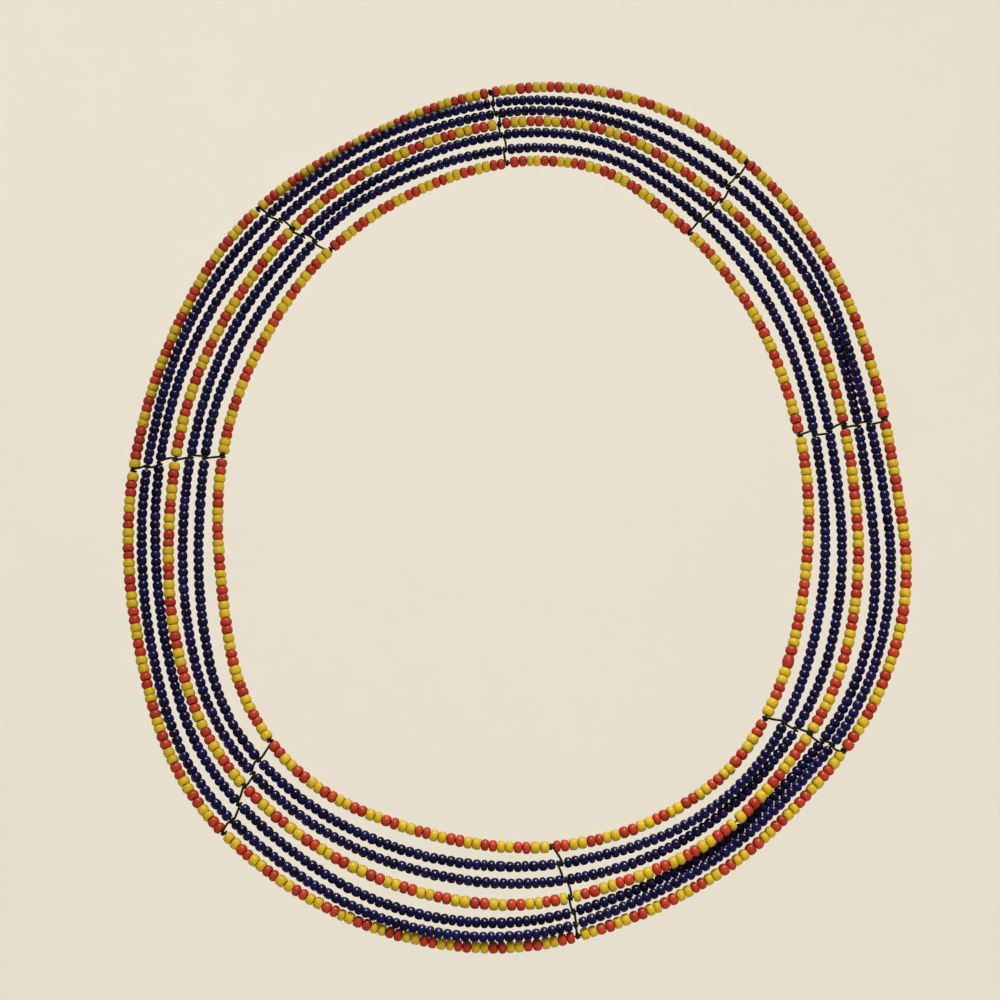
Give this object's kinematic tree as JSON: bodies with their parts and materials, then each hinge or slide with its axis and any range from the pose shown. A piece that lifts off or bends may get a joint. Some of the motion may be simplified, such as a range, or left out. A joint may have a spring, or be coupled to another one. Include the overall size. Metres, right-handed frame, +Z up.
{
  "type": "maasai beaded collar",
  "caption": "Stiff open neck collar of concentric wire rings strung with red, yellow and navy glass seed beads and held in a flat band by black thread ties.",
  "frame": {"origin": "where the innermost row rests on the nape, at the top of the neck opening, on the centre line of that row's beads", "axes": "+Z up, +X to the right in the picture, the face of the band looks to -Y and a little up, because the band leans 18 degrees back from upright"},
  "size_m": [0.2885, 0.1088, 0.3202],
  "materials": {
    "bright_beads": "opaque glossy glass, in pairs of red and yellow beads",
    "navy_beads": "opaque glossy navy glass",
    "ring_wire": "dull dark steel wire",
    "black_thread": "waxed black sewing thread"
  },
  "bodies": {
    "root": {"bead_row_1": "bright_beads", "bead_row_2": "navy_beads", "bead_row_3": "navy_beads", "bead_row_4": "bright_beads", "bead_row_5": "navy_beads", "bead_row_6": "navy_beads", "bead_row_7": "bright_beads", "wire_ring_1": "ring_wire", "wire_ring_2": "ring_wire", "wire_ring_3": "ring_wire", "wire_ring_4": "ring_wire", "wire_ring_5": "ring_wire", "wire_ring_6": "ring_wire", "wire_ring_7": "ring_wire", "thread_tie_1": "black_thread", "thread_tie_2": "black_thread", "thread_tie_3": "black_thread", "thread_tie_4": "black_thread", "thread_tie_5": "black_thread", "thread_tie_6": "black_thread", "thread_tie_7": "black_thread", "thread_tie_8": "black_thread"}
  },
  "joints": []
}
